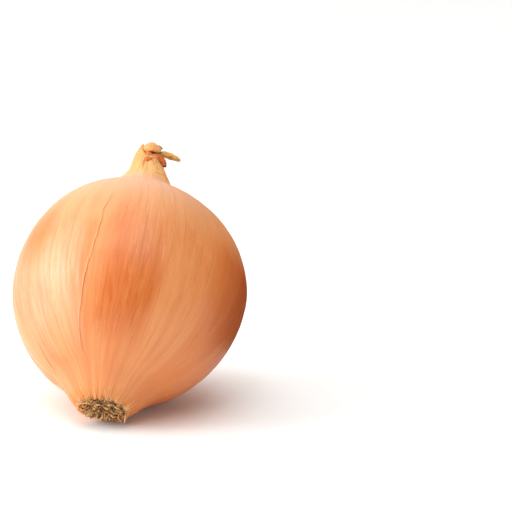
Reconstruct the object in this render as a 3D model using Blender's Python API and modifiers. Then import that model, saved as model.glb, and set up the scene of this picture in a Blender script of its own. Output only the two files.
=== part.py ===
"""A cured yellow onion, as it settles on a table: on a small flat spot, with its roots against the table.

The onion is shaped upright about its own axis, roots down, from its middle. It is then tipped until
the edge of the root end meets the table. Metres, +Z up, origin on the table under the bulb's middle.
"""

import math
import random

import bmesh
import bpy
from mathutils import Matrix, Vector

# Driving dimensions
BULB_RADIUS = 0.040
TILT = math.radians(43)
FLAT_SPOT_DEPTH = 0.0007
CLEARANCE = 0.0003
SEED = 11

# The body of the bulb, and how far its two ends stand off its middle line
COLUMNS = 84
BODY_RINGS = 21
BODY_FROM = math.radians(-65)
BODY_TO = math.radians(63)
NECK_SIDESTEP = -0.0026
ROOT_SIDESTEP = -0.0015
SWELLING = 0.0003
FLATTER_TOWARDS = Vector((0.73, 0.47, -0.50))
FLATTER_BY = 0.0010
FLATTER_WIDTH = 0.55

# The two ends as (radius, height) shares of the bulb's radius, in order from the roots to the neck
ROOT_CUP = ((0.000, -1.070), (0.180, -1.070))
ROOT_RIM = ((0.205, -1.115), (0.227, -1.128))
ROOT_SHOULDER = ((0.253, -1.096), (0.290, -1.053), (0.337, -1.000), (0.381, -0.956))
NECK_SHOULDER = ((0.396, 0.930), (0.334, 0.970), (0.278, 1.014), (0.238, 1.060))
NECK_SHEATH = ((0.204, 1.105), (0.175, 1.144), (0.148, 1.190), (0.129, 1.240), (0.124, 1.285))
NECK_RIM = ((0.117, 1.325), (0.104, 1.345), (0.092, 1.330))
NECK_PIT = ((0.088, 1.288), (0.000, 1.285))

# Ribs of the skin, which deepen to pleats where it gathers at the roots
COLUMNS_A_RIB = 3
RIB_HEIGHT = 0.00018
PLEAT_HEIGHT = 0.00050
ROOT_TATTER = 0.0012

# The long split in the outermost skin, with the next skin showing in it
SPLIT_AT = math.radians(-79)
SPLIT_HALF_WIDTH = math.radians(18)
SPLIT_FROM = math.radians(-64)
SPLIT_TO = math.radians(30)
SPLIT_LOW_END = math.radians(17)
SPLIT_HIGH_END = math.radians(40)
SKIN_STEP = 0.0003

# The lapped sheaths of the neck, one side of which stands higher and leans in
SHEATH_EDGES = (math.radians(-88), math.radians(150))
SHEATH_LAP = 0.0008
FRONT_DIP_AT = math.radians(-74)
FRONT_DIP_WIDTH = 0.8
FRONT_DIP = 0.0014
FULLER_SIDE_AT = math.radians(-12)
FULLER_SIDE_WIDTH = 0.9
FULLER_SIDE = 0.0014
SIDE_LOBE_AT = math.radians(196)
SIDE_LOBE_WIDTH = 0.95
SIDE_LOBE_RISE = 0.0042
LOBE_LEAN = 0.3

# The root tuft: a woody plate in the cup of the root end, with its dried roots
PLATE_RADIUS = 0.0068
PLATE_THICKNESS = 0.0020
ROOT_COUNT = 100
ROOT_POINTS = 5
ROOT_THICKNESS = 0.00052
ROOT_LENGTH = (0.0024, 0.0046)
ROOT_BEND = (0.5, 1.5)
ROOTS_FROM_EDGE = 0.0005
ROOT_REACH = -1.180

# The plug of dried sheaths that fills the neck's pit, and the way its tips face
TIPS_FACE = math.radians(-74)
PLUG_RADIUS = 0.0029
PLUG_HEIGHT = 0.0026
TIP_THICKNESS = 0.0007
RIGHT = Vector((1, 0, 0))
BACK = Vector((0, 1, 0))

# Each dried tip, in millimetres: its spine as (right, back, up) from the top of the neck's pit, the
# direction that its width runs in, its width at both ends, and how far its two edges bow
TIPS = {
    "hood": (
        ((0.6, 1.9, -0.6), (0.8, 2.2, 2.6), (0.9, 1.0, 5.6), (0.9, -0.8, 5.8), (1.0, -2.2, 3.8), (1.1, -2.6, 2.3)),
        RIGHT, (4.2, 5.0), 1.2,
    ),
    "front_lip": (
        ((-0.4, -1.6, -0.8), (-0.3, -2.9, 0.2), (-0.1, -4.1, -0.4), (0.0, -4.9, -1.6)),
        RIGHT, (3.0, 3.6), 0.6,
    ),
    "side_roll": (
        ((0.8, -1.2, -0.6), (2.0, -3.4, 0.3), (3.8, -3.8, 0.3), (5.4, -3.4, -0.7), (6.2, -3.0, -2.1)),
        BACK, (2.2, 1.6), 0.6,
    ),
    "flake": (
        ((1.2, 1.4, -0.2), (1.5, 2.0, 3.2), (2.0, 1.5, 6.6), (3.9, 1.5, 6.6)),
        BACK, (2.8, 0.8), 0.4,
    ),
}

# The leaf stub beside the tips, with its spine given as theirs are
STUB = ((2.8, 0.7, 3.3), (5.2, 0.2, 3.7), (7.6, 0.0, 3.4), (10.9, 0.0, 2.5))
STUB_RADIUS = 0.00125
STUB_SWELL = (0.75, 0.90, 1.00, 1.03, 1.03, 1.00, 0.97, 0.87, 0.60)

# Colour, and roughness, of each piece
FINISHES = {
    "bulb": ((0.72, 0.24, 0.065, 1), 0.42),
    "root_tuft": ((0.26, 0.15, 0.06, 1), 0.9),
    "neck_tips": ((0.55, 0.19, 0.05, 1), 0.7),
    "leaf_stub": ((0.56, 0.30, 0.07, 1), 0.6),
}


def clear_scene():
    for old in list(bpy.data.objects):
        bpy.data.objects.remove(old)


def new_collection(name):
    made = bpy.data.collections.new(name)
    bpy.context.scene.collection.children.link(made)
    return made


def finish(piece):
    colour, roughness = FINISHES[piece.name]
    made = bpy.data.materials.new(piece.name)
    made.use_nodes = True
    shader = made.node_tree.nodes["Principled BSDF"]
    shader.inputs["Base Color"].default_value = colour
    shader.inputs["Roughness"].default_value = roughness
    shader.inputs["Metallic"].default_value = 0.0
    made.diffuse_color = colour
    piece.data.materials.clear()
    piece.data.materials.append(made)
    piece.data.shade_smooth()
    piece.data.set_sharp_from_angle(angle=math.radians(50))


def new_object(name, bm, collection):
    mesh = bpy.data.meshes.new(name)
    bmesh.ops.recalc_face_normals(bm, faces=bm.faces)
    bm.to_mesh(mesh)
    bm.free()
    made = bpy.data.objects.new(name, mesh)
    collection.objects.link(made)
    return made


def apply_modifiers(piece):
    bpy.context.view_layer.update()
    graph = bpy.context.evaluated_depsgraph_get()
    piece.data = bpy.data.meshes.new_from_object(piece.evaluated_get(graph))
    piece.modifiers.clear()


def keep_main_shell(piece):
    """Drop loose scraps, and fill any hollow that fusing sealed: only the largest shell stays."""
    bm = bmesh.new()
    bm.from_mesh(piece.data)
    unseen = set(bm.verts)
    shells = []
    while unseen:
        shell = {unseen.pop()}
        edge = list(shell)
        while edge:
            around = {link.other_vert(vertex) for vertex in edge for link in vertex.link_edges}
            edge = list(around - shell)
            shell.update(edge)
        unseen -= shell
        shells.append(shell)
    main_shell = max(shells, key=len)
    scraps = [vertex for vertex in bm.verts if vertex not in main_shell]
    bmesh.ops.delete(bm, geom=scraps, context="VERTS")
    bm.to_mesh(piece.data)
    bm.free()


def smoothstep(low, high, x):
    share = min(1.0, max(0.0, (x - low) / (high - low)))
    return share * share * (3 - 2 * share)


def bump(angle, centre, width):
    """A smooth hump round the axis: 1 at centre, and close to 0 two widths away."""
    turn = (angle - centre + math.pi) % math.tau - math.pi
    return math.exp(-((turn / width) ** 2))


def placed():
    """From the upright onion to the way it lies on the table."""
    middle = BULB_RADIUS - FLAT_SPOT_DEPTH
    return Matrix.Translation((0, 0, middle)) @ Matrix.Rotation(-TILT, 4, "X")


def sidestep(height):
    """How far the onion's middle line stands off its axis at a height."""
    share = smoothstep(0.45, 1.25, abs(height) / BULB_RADIUS)
    return (NECK_SIDESTEP if height > 0 else ROOT_SIDESTEP) * share


def meridian():
    """(zone, radius, height) of every ring, from the pole in the root cup to the pole in the neck."""
    body = []
    for step in range(BODY_RINGS):
        angle = BODY_FROM + (BODY_TO - BODY_FROM) * step / (BODY_RINGS - 1)
        body.append((math.cos(angle), math.sin(angle)))
    zones = (
        ("cup", ROOT_CUP),
        ("torn rim", ROOT_RIM),
        ("skin", (*ROOT_SHOULDER, *body, *NECK_SHOULDER, *NECK_SHEATH)),
        ("neck rim", NECK_RIM),
        ("pit", NECK_PIT),
    )
    return [(zone, r * BULB_RADIUS, h * BULB_RADIUS) for zone, rings in zones for r, h in rings]


def ribs(column, height):
    """Ribs along the skin, deeper where it is gathered at the roots, and gone on the neck."""
    if column % COLUMNS_A_RIB:
        return 0
    share = height / BULB_RADIUS
    gathered = smoothstep(0.80, 1.04, -share)
    return (RIB_HEIGHT + (PLEAT_HEIGHT - RIB_HEIGHT) * gathered) * smoothstep(1.14, 0.96, share)


def split(azimuth, height):
    """1 in the split of the outermost skin, and 0 outside it."""
    latitude = math.asin(max(-1.0, min(1.0, height / BULB_RADIUS)))
    ends = smoothstep(SPLIT_FROM, SPLIT_FROM + SPLIT_LOW_END, latitude)
    ends *= smoothstep(SPLIT_TO, SPLIT_TO - SPLIT_HIGH_END, latitude)
    away = abs((azimuth - SPLIT_AT + math.pi) % math.tau - math.pi)
    return 1 if away < SPLIT_HALF_WIDTH * ends else 0


def sheath_lap(azimuth):
    """From 1 just past a sheath's edge, where it lies outside, to 0 just before the next edge."""
    past = min((azimuth - edge) % math.tau for edge in SHEATH_EDGES)
    before = min((edge - azimuth) % math.tau for edge in SHEATH_EDGES)
    return before / (past + before)


def flatter(azimuth, radius, height):
    """How much the bulb is flattened at a point by how it lay as it grew."""
    here = Vector((radius * math.cos(azimuth), radius * math.sin(azimuth), height))
    return FLATTER_BY * math.exp(-((here.angle(FLATTER_TOWARDS) / FLATTER_WIDTH) ** 2))


def relief(zone, azimuth, column, radius, height, tatter):
    """(outward, upward) shift of a point of the skin from its meridian."""
    if zone == "torn rim":
        return 0.3 * tatter, -tatter
    if zone in ("cup", "pit"):
        return 0, 0
    share = height / BULB_RADIUS
    neck = smoothstep(1.02, 1.17, share)
    rise = SIDE_LOBE_RISE * bump(azimuth, SIDE_LOBE_AT, SIDE_LOBE_WIDTH)
    dip = FRONT_DIP * bump(azimuth, FRONT_DIP_AT, FRONT_DIP_WIDTH)
    top = smoothstep(1.14, 1.32, share)
    outward = SHEATH_LAP * (sheath_lap(azimuth) - 0.5) * neck - LOBE_LEAN * rise * top**2
    outward += FULLER_SIDE * bump(azimuth, FULLER_SIDE_AT, FULLER_SIDE_WIDTH) * neck * (1 - top)
    if zone == "skin":
        outward += ribs(column, height)
        outward += SWELLING * math.cos(2 * azimuth + 0.6) * (1 - neck)
        outward -= SKIN_STEP * split(azimuth, height) + flatter(azimuth, radius, height)
    return outward, (rise - dip) * top


def bulb(collection):
    """The bulb in its skin, from the cup round its roots to the lapped sheaths of its neck."""
    rings = meridian()
    draw = random.Random(SEED)
    tatters = [ROOT_TATTER * draw.uniform(-0.5, 0.5) for _ in range(COLUMNS)]
    bm = bmesh.new()
    bmesh.ops.create_uvsphere(bm, u_segments=COLUMNS, v_segments=len(rings) - 1, radius=1)
    for vertex in bm.verts:
        polar = math.acos(max(-1.0, min(1.0, -vertex.co.z)))
        azimuth = math.atan2(vertex.co.y, vertex.co.x)
        column = round(azimuth / math.tau * COLUMNS) % COLUMNS
        zone, radius, height = rings[round(polar / math.pi * (len(rings) - 1))]
        outward, upward = relief(zone, azimuth, column, radius, height, tatters[column])
        radius += outward
        height += upward
        across = radius * math.cos(azimuth) + sidestep(height)
        vertex.co = (across, radius * math.sin(azimuth), height)
    bm.transform(placed())
    stand_on_table(bm)
    return new_object("bulb", bm, collection)


def stand_on_table(bm):
    """Press the edge of the root end up to the table's face, and cut the flat spot under the body."""
    middle = placed().translation
    axis = placed().to_3x3() @ Vector((0, 0, 1))
    for vertex in bm.verts:
        if (vertex.co - middle).dot(axis) < -0.9 * BULB_RADIUS:
            vertex.co.z = max(vertex.co.z, 0.00005)
    everything = [*bm.verts, *bm.edges, *bm.faces]
    cut = bmesh.ops.bisect_plane(
        bm, geom=everything, plane_co=(0, 0, 0), plane_no=(0, 0, 1), clear_inner=True
    )
    edges = [item for item in cut["geom_cut"] if isinstance(item, bmesh.types.BMEdge)]
    bmesh.ops.holes_fill(bm, edges=edges)


def smooth_path(points, count):
    """count points evenly along a smooth curve through the given ones."""
    ends = [2 * points[0] - points[1], *points, 2 * points[-1] - points[-2]]
    made = []
    for step in range(count):
        at = step / (count - 1) * (len(points) - 1)
        first = min(int(at), len(points) - 2)
        t = at - first
        a, b, c, d = ends[first : first + 4]
        straight = 2 * b + (c - a) * t
        bent = (2 * a - 5 * b + 4 * c - d) * t**2 + (3 * b - a - 3 * c + d) * t**3
        made.append(0.5 * (straight + bent))
    return made


def tube(name, points, radii, resolution, collection):
    """A closed tube along points, as a welded mesh."""
    curve = bpy.data.curves.new(name, "CURVE")
    curve.dimensions = "3D"
    curve.bevel_depth = 1.0
    curve.bevel_resolution = resolution
    curve.use_fill_caps = True
    spline = curve.splines.new("POLY")
    spline.points.add(len(points) - 1)
    for point, place, radius in zip(spline.points, points, radii):
        point.co = (*place, 1)
        point.radius = radius
    carrier = bpy.data.objects.new(name + "_curve", curve)
    bpy.context.scene.collection.objects.link(carrier)
    bpy.context.view_layer.update()
    graph = bpy.context.evaluated_depsgraph_get()
    mesh = bpy.data.meshes.new_from_object(carrier.evaluated_get(graph))
    bm = bmesh.new()
    bm.from_mesh(mesh)
    bmesh.ops.remove_doubles(bm, verts=bm.verts, dist=0.00001)
    bpy.data.objects.remove(carrier)
    return new_object(name, bm, collection)


def fuse(base, grown):
    """Fuse every object of the collection to base, then remove the collection."""
    union = base.modifiers.new("fuse", "BOOLEAN")
    union.operation = "UNION"
    union.operand_type = "COLLECTION"
    union.collection = grown
    union.solver = "MANIFOLD"
    apply_modifiers(base)
    for old in list(grown.objects):
        bpy.data.objects.remove(old)
    bpy.data.collections.remove(grown)


def keep_clear(piece, neighbour):
    """Cut piece back to its clearance from neighbour."""
    swollen = bmesh.new()
    swollen.from_mesh(neighbour.data)
    swollen.normal_update()
    for vertex in swollen.verts:
        vertex.co += vertex.normal * CLEARANCE
    cutter = new_object("cutter", swollen, bpy.context.scene.collection)
    cut = piece.modifiers.new("clearance", "BOOLEAN")
    cut.operation = "DIFFERENCE"
    cut.object = cutter
    cut.solver = "MANIFOLD"
    apply_modifiers(piece)
    bpy.data.objects.remove(cutter)


def root_path(draw, index):
    """The points of one dried root: out of the plate, then curling away from the middle."""
    share = math.sqrt((index + 0.5) / ROOT_COUNT)
    golden = math.pi * (3 - math.sqrt(5))
    angle = index * golden + draw.uniform(-0.25, 0.25)
    radial = Vector((math.cos(angle), math.sin(angle), 0))
    place = radial * ((PLATE_RADIUS - ROOTS_FROM_EDGE) * share)
    place.x += ROOT_SIDESTEP
    place.z = plate_height() - 0.4 * PLATE_THICKNESS
    around = Vector((-radial.y, radial.x, 0)) * draw.uniform(-1, 1)
    away = (radial * (0.25 + 0.75 * share) + around).normalized()
    stride = draw.uniform(*ROOT_LENGTH) / (ROOT_POINTS - 1)
    bend = draw.uniform(*ROOT_BEND)
    points = []
    for step in range(ROOT_POINTS):
        points.append(Vector((place.x, place.y, max(place.z, ROOT_REACH * BULB_RADIUS))))
        turned = bend * step / (ROOT_POINTS - 1)
        place += stride * (away * math.sin(turned) - Vector((0, 0, 1)) * math.cos(turned))
    return points


def plate_height():
    """The height of the middle of the woody plate, on the onion's own axis."""
    return ROOT_CUP[0][1] * BULB_RADIUS - CLEARANCE - PLATE_THICKNESS / 2


def root_tuft(collection):
    """The woody plate of the root end, and the short dried roots that stand out of it."""
    roots = new_collection("roots")
    draw = random.Random(SEED)
    radii = [ROOT_THICKNESS * (1 - 0.4 * step / (ROOT_POINTS - 1)) for step in range(ROOT_POINTS)]
    for index in range(ROOT_COUNT):
        points = [placed() @ point for point in root_path(draw, index)]
        for point in points:
            point.z = max(point.z, 1.5 * ROOT_THICKNESS)
        tube(f"root_{index}", points, radii, 0, roots)
    bm = bmesh.new()
    outer = 0.9 * PLATE_RADIUS
    bmesh.ops.create_cone(
        bm, cap_ends=True, segments=28, radius1=outer, radius2=PLATE_RADIUS, depth=PLATE_THICKNESS
    )
    bm.transform(placed() @ Matrix.Translation((ROOT_SIDESTEP, 0, plate_height())))
    made = new_object("root_tuft", bm, collection)
    fuse(made, roots)
    return made


def neck_matrix():
    """From (right, back, up) at the top of the neck's pit to the table."""
    pit = Matrix.Translation((NECK_SIDESTEP, 0, NECK_RIM[-1][1] * BULB_RADIUS))
    return placed() @ pit @ Matrix.Rotation(TIPS_FACE + math.pi / 2, 4, "Z")


def spine_path(spine, count):
    """count points along a spine given in millimetres."""
    return smooth_path([Vector(point) / 1000 for point in spine], count)


def blade(name, spine, across, widths, bow, collection):
    """A thin dried leaf tip along its spine, with its edges bowed away from its middle."""
    along_count, across_count = 10, 5
    path = spine_path(spine, along_count)
    first, last = widths[0] / 1000, widths[1] / 1000
    bm = bmesh.new()
    bmesh.ops.create_grid(bm, x_segments=along_count - 1, y_segments=across_count - 1, size=1)
    for vertex in bm.verts:
        step = round((vertex.co.x + 1) / 2 * (along_count - 1))
        side = vertex.co.y
        ahead = path[min(step + 1, along_count - 1)] - path[max(step - 1, 0)]
        outward = across.cross(ahead).normalized()
        width = first + (last - first) * step / (along_count - 1)
        vertex.co = path[step] + across * (width / 2 * side) - outward * (bow / 1000 * side * side)
    bmesh.ops.triangulate(bm, faces=bm.faces)
    bm.transform(neck_matrix())
    made = new_object(name, bm, collection)
    wall = made.modifiers.new("wall", "SOLIDIFY")
    wall.thickness = TIP_THICKNESS
    wall.offset = 0
    apply_modifiers(made)


def neck_tips(collection):
    """The dry sheath tips that close the neck: a hood folded over it, and rolled and torn lips."""
    tips = new_collection("tips")
    for name, (spine, across, widths, bow) in TIPS.items():
        blade(name, spine, across, widths, bow, tips)
    bm = bmesh.new()
    bmesh.ops.create_cone(
        bm, cap_ends=True, segments=16, radius1=PLUG_RADIUS, radius2=0.9 * PLUG_RADIUS, depth=PLUG_HEIGHT
    )
    bm.transform(neck_matrix())
    made = new_object("neck_tips", bm, collection)
    fuse(made, tips)
    return made


def leaf_stub(collection):
    """The stump of a dried leaf that stands out of the neck to one side."""
    points = [neck_matrix() @ point for point in spine_path(STUB, len(STUB_SWELL))]
    return tube("leaf_stub", points, [STUB_RADIUS * share for share in STUB_SWELL], 2, collection)


def main():
    clear_scene()
    onion = new_collection("onion")
    body = bulb(onion)
    tuft = root_tuft(onion)
    tips = neck_tips(onion)
    stub = leaf_stub(onion)
    keep_clear(tuft, body)
    keep_clear(tips, body)
    keep_clear(stub, body)
    keep_clear(stub, tips)
    for piece in (body, tuft, tips, stub):
        keep_main_shell(piece)
        finish(piece)


main()
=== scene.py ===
"""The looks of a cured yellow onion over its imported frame: skin, torn outer skin, neck, stub and roots.

Shapes are worked out upright about the onion's own axis, roots down, from the bulb's middle, and then
tipped as the onion lies. Metres, +Z up. Angles named `turn` run round that axis, from +X towards +Y.
"""

import random
from math import asin, cos, exp, pi, radians, sin, sqrt, tan, tau

import bmesh
import bpy
from mathutils import Matrix, Vector, noise
from mathutils.bvhtree import BVHTree

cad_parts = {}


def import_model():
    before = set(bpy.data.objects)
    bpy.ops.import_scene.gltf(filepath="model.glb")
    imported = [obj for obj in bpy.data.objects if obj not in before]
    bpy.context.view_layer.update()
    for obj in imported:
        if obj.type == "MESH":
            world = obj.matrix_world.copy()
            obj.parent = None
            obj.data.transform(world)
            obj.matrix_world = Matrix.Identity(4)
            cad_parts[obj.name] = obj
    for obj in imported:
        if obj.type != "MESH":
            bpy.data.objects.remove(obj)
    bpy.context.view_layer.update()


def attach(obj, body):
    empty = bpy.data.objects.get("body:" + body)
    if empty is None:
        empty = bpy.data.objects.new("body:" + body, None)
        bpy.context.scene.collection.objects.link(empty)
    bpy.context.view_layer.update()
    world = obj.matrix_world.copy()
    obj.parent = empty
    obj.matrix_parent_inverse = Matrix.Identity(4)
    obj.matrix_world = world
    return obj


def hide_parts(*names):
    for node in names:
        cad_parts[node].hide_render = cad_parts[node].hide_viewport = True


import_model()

# The onion and the way it lies
RADIUS = 0.04
MIDDLE = Vector((0, 0, 0.0393))
TILT = radians(43)
NECK_SIDESTEP = -0.0026
ROOT_SIDESTEP = -0.0015
SIDESTEP_RUN = (0.45, 1.25)
SEED = 11

# The meridian as (radius, height) shares of the bulb's radius, from the root cup to the neck's pit
ROOT_CUP = ((0.0, -1.075), (0.11, -1.075), (0.166, -1.082), (0.186, -1.106), (0.203, -1.12))
ROOT_SHOULDER = ((0.243, -1.096), (0.29, -1.053), (0.337, -1.0), (0.381, -0.956))
BODY_LATITUDES = range(-63, 64, 6)
NECK_SHOULDER = ((0.396, 0.93), (0.334, 0.97), (0.278, 1.014), (0.238, 1.06), (0.204, 1.105))
NECK_SHEATH = ((0.173, 1.144), (0.146, 1.19), (0.132, 1.24), (0.126, 1.285), (0.115, 1.33))
NECK_PIT = ((0.102, 1.336), (0.092, 1.31), (0.08, 1.27), (0.04, 1.262), (0.0, 1.262))
COLUMNS = 404
RINGS = 236

# Edges of the tears in the outermost skin as (latitude, turn) in degrees, from the roots up
LEFT_TEAR = (
    (-66, -112), (-60, -108), (-52, -105.2), (-42, -103.6), (-32, -101), (-17, -98.2), (-4, -96),
    (7, -95.4), (17, -95.6), (25, -94.6), (36, -92.5), (46, -91),
)
RIGHT_TEAR = (
    (-64, -55), (-55, -57.3), (-46, -59), (-32, -60.6), (-22, -59.6), (-11, -59.9), (2, -61.8),
    (13, -63.2), (26, -67), (38, -72),
)

# The photo's camera: where it stands from the bulb's middle, and where that falls in the picture
CAMERA_TURN = radians(14.5)
CAMERA_ELEVATION = 15
CAMERA_DISTANCE = 1.0
PICTURE_SIZE = 512
MIDDLE_AT = (129.5, 293.0)
RADIUS_IN_PIXELS = 116.5


def maths(operation, reflected=False):
    """A method that adds one maths node. Reflected, the wire itself is the last operand."""

    def method(wire, *others):
        values = (*others, wire) if reflected else (wire, *others)
        return wire.tree.add("ShaderNodeMath", {"operation": operation}, values)

    return method


class Wire:
    """One output of a node tree. Arithmetic on it adds the maths nodes."""

    __add__, __radd__ = maths("ADD"), maths("ADD", reflected=True)
    __sub__, __rsub__ = maths("SUBTRACT"), maths("SUBTRACT", reflected=True)
    __mul__, __rmul__ = maths("MULTIPLY"), maths("MULTIPLY", reflected=True)
    __truediv__, __rtruediv__ = maths("DIVIDE"), maths("DIVIDE", reflected=True)
    __mod__ = maths("FLOORED_MODULO")
    __abs__ = maths("ABSOLUTE")
    most = maths("MAXIMUM")
    below = maths("LESS_THAN")
    root = maths("SQRT")
    exponential = maths("EXPONENT")
    sine = maths("SINE")
    cosine = maths("COSINE")
    angle_over = maths("ARCTAN2")

    def __init__(self, tree, node, socket):
        self.tree = tree
        self.node = node
        self.socket = socket

    def __neg__(self):
        return 0 - self

    def other(self, name):
        return Wire(self.tree, self.node, self.tree.find(self.node.outputs, name))

    def smooth(self, low, high, start=0.0, stop=1.0):
        """From start at low to stop at high, along an S."""
        settings = {"interpolation_type": "SMOOTHSTEP"}
        return self.tree.add("ShaderNodeMapRange", settings, (self, low, high, start, stop))

    def band(self, rise, fall):
        """From 0 to 1 over the pair rise, and from 1 back to 0 over the pair fall."""
        return self.smooth(*rise) * (1 - self.smooth(*fall))

    def ridge(self, half_width):
        """1 where the value is 0, falling to 0 at half_width on both sides."""
        return 1 - abs(self).smooth(0.0, half_width)

    def curve(self, points):
        """The value looked up on a smooth curve through (value, result) points."""
        lows = [min(point[i] for point in points) for i in range(2)]
        spans = [max(point[i] for point in points) - lows[i] for i in range(2)]
        share = (self - lows[0]) / spans[0]
        looked_up = self.tree.add("ShaderNodeFloatCurve", {}, {"Value": share})
        mapping = looked_up.node.mapping
        kept = mapping.curves[0].points
        scaled = sorted([(p[i] - lows[i]) / spans[i] for i in range(2)] for p in points)
        kept[0].location = scaled[0]
        kept[1].location = scaled[-1]
        for place in scaled[1:-1]:
            kept.new(*place)
        mapping.update()
        return looked_up * spans[1] + lows[1]


class Tree:
    """A shader or geometry tree that grows by one method."""

    def __init__(self, tree):
        self.tree = tree

    def find(self, sockets, name):
        usable = [socket for socket in sockets if socket.enabled]
        if isinstance(name, int):
            return usable[name]
        return next(socket for socket in usable if socket.name == name)

    def add(self, kind, settings=None, values=(), out=0):
        """A new node: its settings first, then its inputs by order or by name. Gives one output."""
        node = self.tree.nodes.new(kind)
        for name, value in (settings or {}).items():
            setattr(node, name, value)
        pairs = values.items() if isinstance(values, dict) else enumerate(values)
        for name, value in pairs:
            socket = self.find(node.inputs, name)
            if isinstance(value, Wire):
                self.tree.links.new(value.socket, socket)
            elif isinstance(value, (tuple, list)) and socket.type == "RGBA":
                socket.default_value = (*value[:3], 1.0)
            else:
                socket.default_value = value
        return Wire(self, node, self.find(node.outputs, out) if node.outputs else None)

    def vector(self, x, y, z):
        return self.add("ShaderNodeCombineXYZ", {}, (x, y, z))

    def parts(self, vector):
        x = self.add("ShaderNodeSeparateXYZ", {}, (vector,), "X")
        return x, x.other("Y"), x.other("Z")

    def dot(self, vector, direction):
        settings = {"operation": "DOT_PRODUCT"}
        return self.add("ShaderNodeVectorMath", settings, (vector, tuple(direction)), "Value")

    def noise(self, vector, scale, detail=2.0, roughness=0.5):
        values = {"Vector": vector, "Scale": scale, "Detail": detail, "Roughness": roughness}
        return self.add("ShaderNodeTexNoise", {}, values)

    def mix(self, share, first, second):
        """A colour between first and second."""
        return self.add("ShaderNodeMix", {"data_type": "RGBA"}, (share, first, second), "Result")

    def store(self, geometry, name, value):
        values = {"Geometry": geometry, "Name": name, "Value": value}
        return self.add("GeometryNodeStoreNamedAttribute", {"data_type": "FLOAT"}, values)

    def stored(self, name):
        settings = {"data_type": "FLOAT"}
        return self.add("GeometryNodeInputNamedAttribute", settings, {"Name": name}, "Attribute")


class Surface(Tree):
    """The tree of a new material. Its shader's inputs are given by name."""

    def __init__(self, name):
        self.material = bpy.data.materials.new(name)
        self.material.use_nodes = True
        super().__init__(self.material.node_tree)
        self.shader = self.tree.nodes["Principled BSDF"]
        self.colour = None

    def give(self, name, value):
        """Links a wire to an input of the shader, or sets the input to a number."""
        if isinstance(value, Wire):
            self.tree.links.new(value.socket, self.shader.inputs[name])
        else:
            self.shader.inputs[name].default_value = value

    def paint(self, share, colour):
        """Covers the colour so far with another, as far as share says."""
        self.colour = self.mix(share, self.colour, colour)

    def finish(self, roughness, height, strength, distance):
        """Links the colour, the roughness and the bumps, and gives the material."""
        self.give("Base Color", self.colour)
        self.give("Roughness", roughness)
        values = {"Strength": strength, "Distance": distance, "Height": height}
        self.give("Normal", self.add("ShaderNodeBump", {}, values))
        return self.material

    def place(self):
        return self.add("ShaderNodeTexCoord", out="Object")

    def attribute(self, name):
        return self.add("ShaderNodeAttribute", {"attribute_name": name}, out="Fac")


def smoothstep(low, high, x):
    share = min(1.0, max(0.0, (x - low) / (high - low)))
    return share * share * (3 - 2 * share)


def between(points, x):
    """The value at x on straight lines through (x, value) points."""
    if x <= points[0][0]:
        return points[0][1]
    for (x0, y0), (x1, y1) in zip(points, points[1:]):
        if x <= x1:
            return y0 + (y1 - y0) * (x - x0) / (x1 - x0)
    return points[-1][1]


def tipped():
    """From the upright onion to the way it lies on the table."""
    return Matrix.Translation(MIDDLE) @ Matrix.Rotation(-TILT, 4, "X")


def new_object(name, data):
    made = bpy.data.objects.new(name, data)
    bpy.context.scene.collection.objects.link(made)
    return made


def apply_modifiers(piece):
    bpy.context.view_layer.update()
    graph = bpy.context.evaluated_depsgraph_get()
    mesh = bpy.data.meshes.new_from_object(piece.evaluated_get(graph))
    piece.modifiers.clear()
    piece.data = mesh


def object_from(name, bm, material):
    """The finished bmesh as an object in its material."""
    mesh = bpy.data.meshes.new(name)
    bm.to_mesh(mesh)
    bm.free()
    mesh.materials.append(material)
    return new_object(name, mesh)


def stands_for(piece, node):
    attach(piece, "root")
    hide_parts(node)


SOCKETS = {
    int: "NodeSocketInt",
    float: "NodeSocketFloat",
    bpy.types.Material: "NodeSocketMaterial",
    bpy.types.Object: "NodeSocketObject",
}


def grow(name, build, inputs):
    """A mesh grown by a geometry tree with named inputs, given as {name: value}."""
    group = bpy.data.node_groups.new(name, "GeometryNodeTree")
    group.interface.new_socket("Geometry", in_out="OUTPUT", socket_type="NodeSocketGeometry")
    keys = {}
    for label, value in inputs.items():
        made = group.interface.new_socket(label, in_out="INPUT", socket_type=SOCKETS[type(value)])
        keys[label] = made.identifier
    tree = Tree(group)
    source = tree.add("NodeGroupInput")
    result = build(tree, {label: source.other(label) for label in inputs})
    tree.add("NodeGroupOutput", {}, (result,))
    piece = new_object(name, bpy.data.meshes.new(name))
    modifier = piece.modifiers.new(name, "NODES")
    modifier.node_group = group
    for label, value in inputs.items():
        modifier[keys[label]] = value
    apply_modifiers(piece)
    return piece


def finished(tree, geometry, material):
    """Real mesh, smooth, in its material."""
    real = tree.add("GeometryNodeRealizeInstances", {}, (geometry,))
    smooth = tree.add("GeometryNodeSetShadeSmooth", {}, (real,))
    return tree.add("GeometryNodeSetMaterial", {}, {"Geometry": smooth, "Material": material})


def tipped_wires(x, y, z):
    """The tipped place of a point of the upright onion."""
    back = y * cos(TILT) + z * sin(TILT)
    up = z * cos(TILT) - y * sin(TILT) + MIDDLE.z
    return x, back, up


def sidestep(share):
    """How far the axis runs off to the side at a height share, towards the neck and the roots."""
    neck = share.smooth(*SIDESTEP_RUN, 0.0, NECK_SIDESTEP)
    return neck + (-share).smooth(*SIDESTEP_RUN, 0.0, ROOT_SIDESTEP)


# The bulb's skin


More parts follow.
